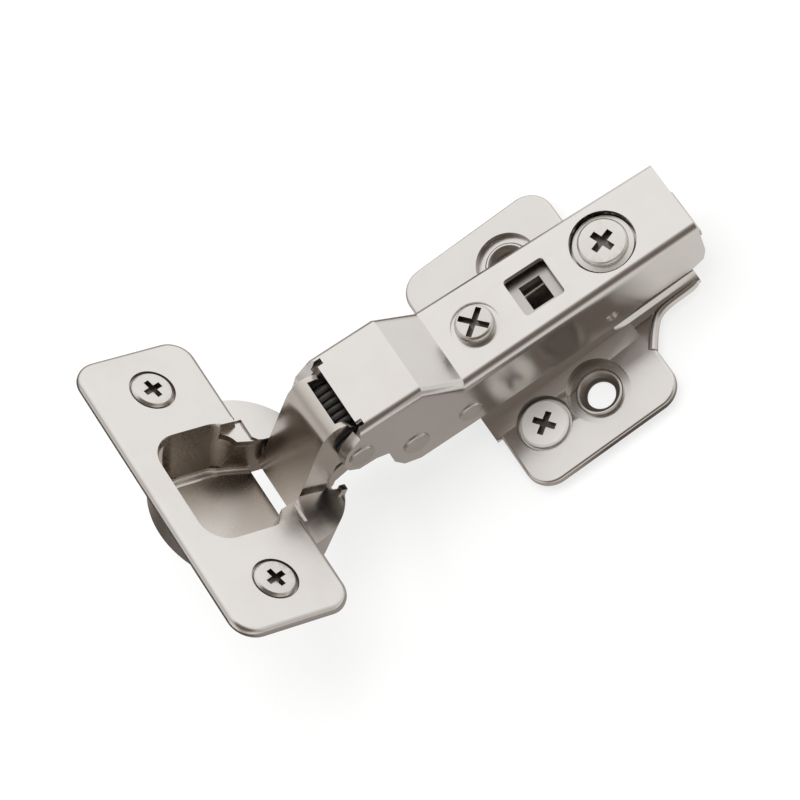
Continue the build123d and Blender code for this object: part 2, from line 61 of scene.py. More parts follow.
class Surface(Enum):
    """What a surface is made of and how it is finished."""

    SATIN_NICKEL = "satin nickel plate"
    INNER_NICKEL_PAINTED_SHADE = "inner nickel plate darkened as painted shade"
    BRIGHT_NICKEL = "bright nickel plate"
    SCREW_NICKEL = "screw nickel plate"
    MATT_NICKEL = "matt nickel plate"
    PIN_STEEL = "riveted steel"
    BLACK_SPRING = "blackened spring steel"
    BLACK_PLASTIC = "black moulded plastic"
    DRAWN_NICKEL_PAINTED_SHADE = "drawn nickel plate with painted shade"
    RECESS_PAINTED_SHADE = "screw recess in painted shade"
    PAINTED_SHADE_NICKEL = "nickel plate with painted shade in a narrow seat"


@dataclass(frozen=True)
class Slope:
    """A set of axes that falls by an angle towards +X, as the arm and the flange do.

    Attributes:
        x: Origin along X in millimetres.
        z: Origin along Z in millimetres.
        pitch: Fall in degrees.
    """

    x: float
    z: float
    pitch: float

    def matrix(self) -> Matrix:
        """Return the matrix from these axes (millimetres) to the row frame (metres)."""
        turn = Matrix.Rotation(math.radians(self.pitch), 4, "Y")
        return Matrix.Translation((self.x * MM, 0.0, self.z * MM)) @ turn @ Matrix.Scale(MM, 4)


@dataclass(frozen=True)
class Region:
    """A box on a solid whose inward faces have a finish of their own.

    Attributes:
        axes: Axes that the box lies along.
        low: Its lowest corner in millimetres.
        high: Its highest corner in millimetres.
        surface: The finish there.
    """

    axes: Slope
    low: Place
    high: Place
    surface: Surface

    def holds(self, centre: Vector, normal: Vector) -> bool:
        """Tell whether a face lies in the box and looks towards its middle.

        Args:
            centre: Middle of the face in metres, in the row frame.
            normal: Its normal.

        Returns:
            True if the face belongs to the region.
        """
        back = self.axes.matrix().inverted()
        point = back @ centre
        if any(not lo <= value <= hi for lo, value, hi in zip(self.low, point, self.high)):
            return False
        middle = self.axes.matrix() @ ((Vector(self.low) + Vector(self.high)) / 2)
        return (middle - centre).dot(normal) > 0


ARM = Slope(-11.08, 22.46, 5.85)
FLANGE = Slope(-65.37, 32.59, 40.2)
LEVEL = Slope(0.0, 0.0, 0.0)


def round_region(
    axes: Slope,
    centre: tuple[float, float],
    reach: float,
    depths: tuple[float, float],
    surface: Surface,
) -> Region:
    """Make a region round the upright middle line of a hole, a seat or a recess.

    Args:
        axes: Axes that it stands in.
        centre: Place of the line along X and Y in millimetres.
        reach: How far the region goes to each side, in millimetres.
        depths: Its lowest and highest point in millimetres.
        surface: The finish there.

    Returns:
        The region.
    """
    x, y = centre
    low = (x - reach, y - reach, depths[0])
    return Region(axes, low, (x + reach, y + reach, depths[1]), surface)


class NodeLayout:
    """Adds nodes to a tree and joins them, with less writing."""

    def __init__(self, tree: bpy.types.NodeTree) -> None:
        """Keep the tree.

        Args:
            tree: Node tree to fill.
        """
        self.tree = tree
        self.tree.nodes.clear()
        self.column = 0

    def add(self, kind: str, **values: object) -> bpy.types.Node:
        """Add a node and set its attributes.

        Args:
            kind: Blender's node type.
            **values: Attributes of the node.

        Returns:
            The new node.
        """
        node = self.tree.nodes.new(kind)
        node.location = (self.column * NODE_SPACING, 0)
        self.column += 1
        for key, value in values.items():
            setattr(node, key, value)
        return node

    def join(self, source: Socket | float, target: Socket) -> None:
        """Give an input its value.

        Args:
            source: The output to link it to, or a fixed number.
            target: The input.
        """
        if isinstance(source, float):
            target.default_value = source
        else:
            self.tree.links.new(source, target)

    def noise(self, vector: Socket, scale: float, detail: float, roughness: float = 0.5) -> Socket:
        """Add a noise texture.

        Args:
            vector: Its coordinates.
            scale: Its scale, larger is finer.
            detail: Number of finer layers.
            roughness: Strength of the finer layers.

        Returns:
            The value of the noise.
        """
        node = self.add("ShaderNodeTexNoise")
        self.join(vector, node.inputs["Vector"])
        self.join(scale, node.inputs["Scale"])
        self.join(detail, node.inputs["Detail"])
        self.join(roughness, node.inputs["Roughness"])
        return node.outputs[0]

    def rescale(
        self,
        value: Socket,
        source: tuple[float, float],
        target: tuple[float, float] = (0.0, 1.0),
        curve: str = "LINEAR",
    ) -> Socket:
        """Map one range of values onto another and hold it there.

        Args:
            value: The value to map.
            source: Range that it comes from.
            target: Range that it goes to.
            curve: Blender's name for the way between the two ends.

        Returns:
            The new value.
        """
        node = self.add("ShaderNodeMapRange", interpolation_type=curve)
        names = ("Value", "From Min", "From Max", "To Min", "To Max")
        for name, setting in zip(names, (value, *source, *target)):
            self.join(setting, node.inputs[name])
        return node.outputs[0]

    def blend(self, share: Socket | float, first: Socket, second: Socket) -> Socket:
        """Mix two values.

        Args:
            share: Share of the second value, fixed or from a socket.
            first: First value.
            second: Second value.

        Returns:
            The mixed value.
        """
        node = self.add("ShaderNodeMix", data_type="FLOAT")
        self.join(share, node.inputs[0])
        self.join(first, node.inputs[2])
        self.join(second, node.inputs[3])
        return node.outputs[0]

    def tint(self, share: Socket, first: Socket | Colour, second: Colour) -> Socket:
        """Mix two colours.

        Args:
            share: Share of the second colour.
            first: First colour, fixed or from a socket.
            second: Second colour.

        Returns:
            The mixed colour.
        """
        node = self.add("ShaderNodeMix", data_type="RGBA")
        self.join(share, node.inputs[0])
        if isinstance(first, tuple):
            node.inputs[6].default_value = (*first, 1.0)
        else:
            self.join(first, node.inputs[6])
        node.inputs[7].default_value = (*second, 1.0)
        return node.outputs[2]

    def scaled_object_coords(self, inlet: bpy.types.Node) -> tuple[Socket, Socket]:
        """Add object coordinates and the same ones times a group's Scale input.

        Args:
            inlet: The group's input node.

        Returns:
            The plain and the scaled coordinates.
        """
        coords = self.add("ShaderNodeTexCoord").outputs["Object"]
        size = self.add("ShaderNodeVectorMath", operation="SCALE")
        self.join(coords, size.inputs[0])
        self.join(inlet.outputs["Scale"], size.inputs["Scale"])
        return coords, size.outputs[0]

    def facing(self, coords: Socket, aim: Place) -> Socket:
        """Measure how well a direction agrees with an aim.

        Args:
            coords: The direction.
            aim: The aim, of any length.

        Returns:
            1 along the aim, -1 against it.
        """
        node = self.add("ShaderNodeVectorMath", operation="DOT_PRODUCT")
        node.inputs[1].default_value = Vector(aim).normalized()
        self.join(coords, node.inputs[0])
        return node.outputs["Value"]

    def calculate(self, operation: str, first: Socket, second: Socket | float) -> Socket:
        """Work out one operation on two values.

        Args:
            operation: Blender's name of the operation.
            first: First value.
            second: Second value, fixed or from a socket.

        Returns:
            The result.
        """
        node = self.add("ShaderNodeMath", operation=operation)
        self.join(first, node.inputs[0])
        self.join(second, node.inputs[1])
        return node.outputs[0]

    def ramp(self, value: Socket, tones: Tones) -> Socket:
        """Turn a value into a colour.

        Args:
            value: Value from 0 to 1.
            tones: Position and colour of each stop.

        Returns:
            The colour.
        """
        node = self.add("ShaderNodeValToRGB")
        stops = node.color_ramp.elements
        while len(stops) < len(tones):
            stops.new(0.5)
        for stop, (place, _) in zip(stops, tones):
            stop.position = place
        for stop, (_, colour) in zip(stops, tones):
            stop.color = (*colour, 1.0)
        self.join(value, node.inputs[0])
        return node.outputs[0]

    def mix_shaders(self, share: Socket, first: Socket, second: Socket) -> Socket:
        """Mix two shaders.

        Args:
            share: Share of the second shader.
            first: First shader.
            second: Second shader.

        Returns:
            The mixed shader.
        """
        node = self.add("ShaderNodeMixShader")
        for source, target in zip((share, first, second), node.inputs):
            self.join(source, target)
        return node.outputs[0]


def new_group(
    name: str, ins: dict[str, float], outs: list[str]
) -> tuple[bpy.types.NodeTree, NodeLayout]:
    """Make a shader group with float inputs and float outputs.

    Args:
        name: Name of the group.
        ins: Input names and their default values.
        outs: Output names.

    Returns:
        The group and its layout.
    """
    group = bpy.data.node_groups.new(name, "ShaderNodeTree")
    for key, value in ins.items():
        socket = group.interface.new_socket(key, in_out="INPUT", socket_type="NodeSocketFloat")
        socket.default_value = value
    for key in outs:
        group.interface.new_socket(key, in_out="OUTPUT", socket_type="NodeSocketFloat")
    return group, NodeLayout(group)


def plating_group() -> bpy.types.NodeTree:
    """Build the fine grain that barrel plating leaves on pressed sheet.

    Returns:
        A group with a Height output for bump and a Tone output for colour and roughness.
    """
    group, lay = new_group("Plating grain", {"Scale": 1.0, "Streak": 0.3}, ["Height", "Tone"])
    inlet = lay.add("NodeGroupInput")
    coords, size = lay.scaled_object_coords(inlet)
    fine = lay.noise(size, scale=1300.0, detail=1.0)
    stretch = lay.add("ShaderNodeMapping")
    stretch.inputs["Scale"].default_value = (160.0, 2200.0, 2200.0)
    lay.join(size, stretch.inputs["Vector"])
    streak = lay.noise(stretch.outputs[0], scale=1.0, detail=2.0)
    height = lay.blend(inlet.outputs["Streak"], fine, streak)
    cloud = lay.noise(coords, scale=190.0, detail=4.0)
    tone = lay.blend(0.35, cloud, height)
    outlet = lay.add("NodeGroupOutput")
    lay.join(height, outlet.inputs["Height"])
    lay.join(tone, outlet.inputs["Tone"])
    return group


def handling_group() -> bpy.types.NodeTree:
    """Build the faint smudges that handling leaves on plated steel.

    Returns:
        A group with a Smudge output, a mask from 0 to 1.
    """
    group, lay = new_group("Handling marks", {"Scale": 1.0}, ["Smudge"])
    inlet = lay.add("NodeGroupInput")
    _, size = lay.scaled_object_coords(inlet)
    wide = lay.noise(size, scale=75.0, detail=5.0, roughness=0.6)
    smudge = lay.rescale(wide, (0.42, 0.68))
    outlet = lay.add("NodeGroupOutput")
    lay.join(smudge, outlet.inputs["Smudge"])
    return group


class Effects:
    """The shader groups that the finishes share, each built once."""

    def __init__(self) -> None:
        """Build the groups."""
        self.plating = plating_group()
        self.handling = handling_group()

    def place(self, lay: NodeLayout, group: bpy.types.NodeTree, **values: float) -> bpy.types.Node:
        """Put a group into a material.

        Args:
            lay: Layout of the material.
            group: Group to place.
            **values: Values of the group's inputs.

        Returns:
            The group's node.
        """
        node = lay.add("ShaderNodeGroup", node_tree=group)
        for key, value in values.items():
            lay.join(value, node.inputs[key])
        return node


def close_material(
    lay: NodeLayout, colour: Socket, rough: Socket, height: Socket, bump: float, metallic: float
) -> None:
    """Add a material's bump, shader and outlet.

    Args:
        lay: Layout of the material.
        colour: Its colour.
        rough: Its roughness.
        height: Height of its grain.
        bump: Strength of the grain.
        metallic: 1 for metal.
    """
    relief = lay.add("ShaderNodeBump")
    lay.join(bump, relief.inputs["Strength"])
    lay.join(GRAIN_DEPTH, relief.inputs["Distance"])
    lay.join(height, relief.inputs["Height"])
    shader = lay.add("ShaderNodeBsdfPrincipled")
    lay.join(metallic, shader.inputs["Metallic"])
    lay.join(colour, shader.inputs["Base Color"])
    lay.join(rough, shader.inputs["Roughness"])
    lay.join(relief.outputs[0], shader.inputs["Normal"])
    outlet = lay.add("ShaderNodeOutputMaterial")
    lay.join(shader.outputs[0], outlet.inputs[0])


@dataclass(frozen=True)
class PlatedSteel:
    """Nickel-plated steel.

    Attributes:
        name: Name of the material.
        colour: Colour of the plate.
        shade: Colour where the plate is smudged.
        rough_low: Roughness at its smoothest.
        rough_high: Roughness at its dullest.
        bump: Strength of the grain.
        streak: Share of drawn streaks in the grain, from 0 to 1.
        scale: Size of the grain, larger is finer.
        painted_shade_colour: Colour of the painted shade on the far side of a drawn hollow, or
            None.
        painted_shade_span: Where that painted shade starts and where it is full, along Y in
            millimetres.
        metallic: 1 for a clear plate, less for one with a dull film.
    """

    name: str
    colour: Colour
    shade: Colour
    rough_low: float
    rough_high: float
    bump: float
    streak: float
    scale: float = 1.0
    painted_shade_colour: Colour | None = None
    painted_shade_span: tuple[float, float] = (-8.0, 6.0)
    metallic: float = 1.0

    def build(self, effects: Effects) -> bpy.types.Material:
        """Make the material.

        Args:
            effects: The shared shader groups.

        Returns:
            The material.
        """
        material = bpy.data.materials.new(self.name)
        material.use_nodes = True
        lay = NodeLayout(material.node_tree)
        grain = effects.place(lay, effects.plating, Scale=self.scale, Streak=self.streak)
        marks = effects.place(lay, effects.handling, Scale=1.0)
        colour = lay.tint(marks.outputs["Smudge"], self.colour, self.shade)
        # Painted shade: the colour blends smoothly along object Y towards a darker tone, for the
        # far side of the cup's pocket.
        if self.painted_shade_colour:
            coords = lay.add("ShaderNodeTexCoord")
            split = lay.add("ShaderNodeSeparateXYZ")
            lay.join(coords.outputs["Object"], split.inputs[0])
            span = (self.painted_shade_span[0] * MM, self.painted_shade_span[1] * MM)
            share = lay.rescale(split.outputs["Y"], span, curve="SMOOTHSTEP")
            colour = lay.tint(share, colour, self.painted_shade_colour)
        rough = lay.rescale(grain.outputs["Tone"], (0.3, 0.7), (self.rough_low, self.rough_high))
        close_material(lay, colour, rough, grain.outputs["Height"], self.bump, self.metallic)
        return material


@dataclass(frozen=True)
class DarkFinish:
    """A black finish: oiled spring steel or moulded plastic.

    Attributes:
        name: Name of the material.
        colour: Main colour.
        worn: Colour where it is rubbed.
        roughness: Middle roughness.
        bump: Strength of the grain.
        metallic: 1 for steel, 0 for plastic.
    """

    name: str
    colour: Colour
    worn: Colour
    roughness: float
    bump: float
    metallic: float

    def build(self, effects: Effects) -> bpy.types.Material:
        """Make the material.

        Args:
            effects: The shared shader groups.

        Returns:
            The material.
        """
        material = bpy.data.materials.new(self.name)
        material.use_nodes = True
        lay = NodeLayout(material.node_tree)
        grain = effects.place(lay, effects.plating, Scale=1.4, Streak=0.1)
        marks = effects.place(lay, effects.handling, Scale=2.0)
        colour = lay.tint(marks.outputs["Smudge"], self.colour, self.worn)
        ends = (self.roughness - 0.08, self.roughness + 0.1)
        rough = lay.rescale(grain.outputs["Tone"], (0.2, 0.8), ends)
        close_material(lay, colour, rough, grain.outputs["Height"], self.bump, self.metallic)
        return material


FINISHES: dict[Surface, PlatedSteel | DarkFinish] = {
    Surface.SATIN_NICKEL: PlatedSteel(
        "Satin nickel plate", (0.79, 0.77, 0.75), (0.76, 0.735, 0.71), 0.21, 0.26, 0.004, 0.25
    ),
    # Painted shade: a darker copy of the satin plate for the parts inside the arm.
    Surface.INNER_NICKEL_PAINTED_SHADE: PlatedSteel(
        "Inner nickel plate darkened as painted shade", (0.60, 0.575, 0.55), (0.54, 0.515, 0.49), 0.24, 0.34, 0.01, 0.25
    ),
    Surface.BRIGHT_NICKEL: PlatedSteel(
        "Bright nickel plate", (0.68, 0.64, 0.60), (0.62, 0.58, 0.54), 0.18, 0.26, 0.006, 0.5
    ),
    Surface.SCREW_NICKEL: PlatedSteel(
        "Screw nickel plate", (0.76, 0.74, 0.71), (0.70, 0.675, 0.645), 0.22, 0.32, 0.012, 0.1, 1.6
    ),
    Surface.MATT_NICKEL: PlatedSteel(
        "Matt nickel plate", (0.80, 0.78, 0.75), (0.74, 0.72, 0.69), 0.45, 0.55, 0.01, 0.1, 1.6,
        metallic=0.4,
    ),
    Surface.PIN_STEEL: PlatedSteel(
        "Riveted steel", (0.74, 0.72, 0.69), (0.66, 0.64, 0.61), 0.24, 0.36, 0.015, 0.1, 1.6
    ),
    # Drawn plate of the cup's pocket and cheeks, with painted shade that darkens it towards the
    # far side.
    Surface.DRAWN_NICKEL_PAINTED_SHADE: PlatedSteel(
        "Drawn nickel plate with painted shade", (0.80, 0.77, 0.735), (0.74, 0.71, 0.675), 0.24, 0.32, 0.006, 0.25,
        painted_shade_colour=(0.38, 0.335, 0.29),
    ),
    # Painted shade: a darker copy of the plate for the seats, cones and wells round screws and
    # holes.
    Surface.PAINTED_SHADE_NICKEL: PlatedSteel(
        "Nickel plate with painted shade", (0.46, 0.43, 0.40), (0.40, 0.37, 0.34), 0.26, 0.36, 0.01, 0.2
    ),
    # Painted shade: a dark copy of the plate for the screws' cross recesses.
    Surface.RECESS_PAINTED_SHADE: PlatedSteel(
        "Screw recess in painted shade", (0.26, 0.235, 0.21), (0.20, 0.18, 0.16), 0.35, 0.5, 0.05, 0.1
    ),
    Surface.BLACK_SPRING: DarkFinish(
        "Blackened spring steel", (0.045, 0.042, 0.040), (0.08, 0.075, 0.07), 0.32, 0.05, 0.6
    ),
    Surface.BLACK_PLASTIC: DarkFinish(
        "Black moulded plastic", (0.03, 0.03, 0.031), (0.045, 0.045, 0.046), 0.5, 0.15, 0.0
    ),
}


class Workshop:
    """Holds the built materials and dresses solids with them."""

    def __init__(self) -> None:
        """Build every finish once."""
        self.effects = Effects()
        self.materials = {key: finish.build(self.effects) for key, finish in FINISHES.items()}

    def paint(self, thing: bpy.types.Object, surface: Surface) -> None:
        """Give an object one material.

        Args:
            thing: Object to dress.
            surface: The finish.
        """
        thing.data.materials.clear()
        thing.data.materials.append(self.materials[surface])

    def dress(
        self, node: str, surface: Surface, edge: float, regions: tuple[Region, ...] = ()
    ) -> None:
        """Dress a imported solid: finish, smooth shading and softened edges.

        Args:
            node: Name of the CAD node.
            surface: The finish.
            edge: Width of the softened edges in millimetres, 0 for none.
            regions: Parts with a finish of their own.
        """
        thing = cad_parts[node]
        self.paint(thing, surface)
        for face in thing.data.polygons:
            face.use_smooth = True
        for region in regions:
            self.paint_region(thing, region)
        own_normals = thing.data.attributes.get("custom_normal")
        if own_normals:
            thing.data.attributes.remove(own_normals)
        weld = thing.modifiers.new("Weld", "WELD")
        weld.merge_threshold = WELD_REACH * MM
        if edge:
            soft = thing.modifiers.new("Soft edges", "BEVEL")
            soft.width = edge * MM
            soft.segments = 2
            soft.limit_method = "ANGLE"
            soft.angle_limit = SHARP_ANGLE
            soft.miter_outer = "MITER_ARC"
            level = thing.modifiers.new("Flat faces stay flat", "WEIGHTED_NORMAL")
            level.mode = "FACE_AREA"
            level.weight = 100
        else:
            split = thing.modifiers.new("Crisp edges", "EDGE_SPLIT")
            split.split_angle = SHARP_ANGLE
        LOG.info("dressed %s in %s", node, surface.value)

    def paint_region(self, thing: bpy.types.Object, region: Region) -> None:
        """Give the faces of one region their own finish.

        Args:
            thing: The dressed object.
            region: The region.
        """
        names = [slot.name for slot in thing.data.materials]
        material = self.materials[region.surface]
        if material.name not in names:
            thing.data.materials.append(material)
            names.append(material.name)
        index = names.index(material.name)
        for face in thing.data.polygons:
            if region.holds(face.center, face.normal):
                face.material_index = index

    def piece(
        self, name: str, mesh: bpy.types.Mesh, surface: Surface, body: str
    ) -> bpy.types.Object:
        """Make an object from a mesh in the row frame and let it ride on a body.

        Args:
            name: Name of the object.
            mesh: Finished mesh, in metres.
            surface: The finish.
            body: Body that it moves with.

        Returns:
            The new object.
        """
        thing = bpy.data.objects.new(name, mesh)
        bpy.context.scene.collection.objects.link(thing)
        self.paint(thing, surface)
        for face in mesh.polygons:
            face.use_smooth = True
        split = thing.modifiers.new("Crisp edges", "EDGE_SPLIT")
        split.split_angle = PIECE_SHARP_ANGLE
        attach(thing, body)
        LOG.info("added %s on %s", name, body)
        return thing


def ring_mesh(name: str, rings: list[list[Vector]]) -> bpy.types.Mesh:
    """Join rings of points into one closed skin.

    Args:
        name: Name of the mesh.
        rings: Rings with equally many points, in metres.

    Returns:
        The mesh.
    """
    shape = bmesh.new()
    rows = [[shape.verts.new(point) for point in ring] for ring in rings]
    count = len(rows[0])
    for a, b in zip(rows, rows[1:]):
        for k in range(count):
            shape.faces.new((a[k], a[(k + 1) % count], b[(k + 1) % count], b[k]))
    shape.faces.new(list(reversed(rows[0])))
    shape.faces.new(rows[-1])
    bmesh.ops.recalc_face_normals(shape, faces=shape.faces)
    mesh = bpy.data.meshes.new(name)
    shape.to_mesh(mesh)
    shape.free()
    return mesh


def bead_rings(
    path: list[Vector], radius: float, sides: int = 12, end: float = 0.35
) -> list[list[Vector]]:
    """Lay round rings along a path, narrower at its two ends.

    Args:
        path: Points in metres.
        radius: Radius in metres.
        sides: Number of points in each ring.
        end: Share of the radius that is left at the two ends.

    Returns:
        The rings.
    """
    rings: list[list[Vector]] = []
    side = Vector((0.0, 0.0, 1.0))
    for i, point in enumerate(path):
        ahead = (path[min(i + 1, len(path) - 1)] - path[max(i - 1, 0)]).normalized()
        side = (side - ahead * side.dot(ahead)).normalized()
        up = ahead.cross(side)
        reach = radius * (end if i in (0, len(path) - 1) else 1.0)
        turns = [2 * math.pi * k / sides for k in range(sides)]
        rings.append([point + (side * math.cos(t) + up * math.sin(t)) * reach for t in turns])
    return rings


def smooth_path(points: list[Vector], rounds: int = 3) -> list[Vector]:
    """Cut the corners of a path so that it bends smoothly.

    Args:
        points: Corners of the path.
        rounds: How often the corners are cut.

    Returns:
        The smoother path, with the same ends.
    """
    for _ in range(rounds):
        cut = [points[0]]
        for a, b in zip(points, points[1:]):
            cut += [a.lerp(b, 0.25), a.lerp(b, 0.75)]
        points = cut + [points[-1]]
    return points


@dataclass(frozen=True)
class PlateLooks:
    """The mounting plate, its carriage and its height screw. Lengths are in millimetres.

    Attributes:
        edge: Width of the softened edges.
        hole_y: Distance of each cabinet screw's hole from the middle.
        cone_reach: Half the width of the region of painted shade round a hole in the plate.
        cone_depths: Lowest and highest point of that region.
        well_reach: Half the width of the region of painted shade round a hole in the carriage.
        well_depths: Lowest and highest point of the regions of painted shade in the carriage.
        screw: Place of the height screw along X and Y.
        seat_reach: Half the width of the region of painted shade round the height screw.
        recess_reach: Half the width of the region with its cross recess, which gets painted shade.
        recess_depths: Lowest and highest point of the cross recess.
        lip_radius: Radius of a tail lip.
        lip_height: Height of its middle line.
        lip_path: Its middle line along X and away from the middle.
    """

    edge: float = 0.15
    hole_y: float = 16.0
    cone_reach: float = 4.7
    cone_depths: tuple[float, float] = (0.5, 2.9)
    well_reach: float = 6.7
    well_depths: tuple[float, float] = (1.4, 2.95)
    screw: tuple[float, float] = (-11.5, -15.0)
    seat_reach: float = 5.5
    recess_reach: float = 2.7
    recess_depths: tuple[float, float] = (1.9, 3.25)
    lip_radius: float = 0.95
    lip_height: float = 2.5
    lip_path: Outline = (
        (12.4, 15.6), (13.2, 14.4), (14.6, 12.5), (16.6, 10.4),
        (18.6, 9.75), (21.0, 9.6), (24.6, 9.6), (26.1, 9.3),
    )

    def build(self, shop: Workshop) -> None:
        """Dress the plate and roll the lips of its tail.

        Args:
            shop: The workshop with the finishes.
        """
        # Painted shade: the cones round the plate's holes, the carriage's wells and the height
        # screw's seat take a darker copy of the plate.
        shaded = Surface.PAINTED_SHADE_NICKEL
        holes = (self.hole_y, -self.hole_y)
        cones = [
            round_region(LEVEL, (0.0, y), self.cone_reach, self.cone_depths, shaded) for y in holes
        ]
        shop.dress("mounting_plate", Surface.SATIN_NICKEL, self.edge, tuple(cones))
        wells = [
            round_region(LEVEL, (0.0, y), self.well_reach, self.well_depths, shaded) for y in holes
        ]
        seat = round_region(LEVEL, self.screw, self.seat_reach, self.well_depths, shaded)
        shop.dress("plate_carriage", Surface.SATIN_NICKEL, self.edge, (*wells, seat))
        # Painted shade: the height screw's cross recess takes a dark copy of the plate.
        recess = round_region(
            LEVEL, self.screw, self.recess_reach, self.recess_depths, Surface.RECESS_PAINTED_SHADE
        )
        shop.dress("height_screw", Surface.MATT_NICKEL, 0.0, (recess,))
        for sign, name in ((1, "left_tail_lip"), (-1, "right_tail_lip")):
            corners = [Vector((x, sign * y, self.lip_height)) * MM for x, y in self.lip_path]
            lip = ring_mesh(name, bead_rings(smooth_path(corners), self.lip_radius * MM))
            shop.piece(name, lip, Surface.SATIN_NICKEL, "carriage")


@dataclass(frozen=True)
class PlainLooks:
    """The nodes that have one finish all over.

    Attributes:
        nodes: Each node with its finish and the width of its softened edges in millimetres.
    """

    nodes: tuple[tuple[str, Surface, float], ...] = (
        ("hinge_arm", Surface.SATIN_NICKEL, 0.2),
        # Painted shade: the three parts inside the arm take the darker inner copy of the plate.
        ("clip_bracket", Surface.INNER_NICKEL_PAINTED_SHADE, 0.1),
        ("depth_plate", Surface.INNER_NICKEL_PAINTED_SHADE, 0.1),
        ("clip_catch", Surface.INNER_NICKEL_PAINTED_SHADE, 0.15),
        ("catch_pin", Surface.PIN_STEEL, 0.1),
        ("outer_link_rivet", Surface.PIN_STEEL, 0.1),
        ("inner_link_rivet", Surface.PIN_STEEL, 0.1),
        ("damper_rivet", Surface.PIN_STEEL, 0.1),
        ("damper_housing", Surface.BLACK_PLASTIC, 0.15),
        ("damper_piston", Surface.PIN_STEEL, 0.1),
        ("outer_link", Surface.BRIGHT_NICKEL, 0.15),
        ("inner_link", Surface.BRIGHT_NICKEL, 0.15),
        ("inner_link_pin", Surface.PIN_STEEL, 0.1),
        ("spring_sleeve", Surface.BLACK_PLASTIC, 0.1),
        ("closing_spring", Surface.BLACK_SPRING, 0.0),
        ("link_washers", Surface.BLACK_PLASTIC, 0.1),
        ("cup_pin", Surface.PIN_STEEL, 0.1),
    )

    def build(self, shop: Workshop) -> None:
        """Dress each of the nodes.

        Args:
            shop: The workshop with the finishes.
        """
        for node, surface, edge in self.nodes:
            shop.dress(node, surface, edge)


@dataclass(frozen=True)
class ArmScrewLooks:
    """The arm's two adjusting screws. Lengths are in millimetres, in the arm's axes.

    Attributes:
        screws: Each screw's node, softened edge, place along the arm, and the reach and the
        lowest and highest point of its cross recess, which gets painted shade.
    """

    screws: tuple[tuple[str, float, float, float, tuple[float, float]], ...] = (
        ("side_screw", 0.06, 0.0, 3.2, (-0.25, 1.33)),
        ("depth_screw", 0.08, 27.6, 2.6, (-1.25, 0.33)),
    )

    def build(self, shop: Workshop) -> None:
        """Dress both screws.

        Args:
            shop: The workshop with the finishes.
        """
        for node, edge, along, reach, depths in self.screws:
            # Painted shade: each screw's cross recess takes a dark copy of the plate.
            recess = round_region(ARM, (along, 0.0), reach, depths, Surface.RECESS_PAINTED_SHADE)
            shop.dress(node, Surface.SCREW_NICKEL, edge, (recess,))


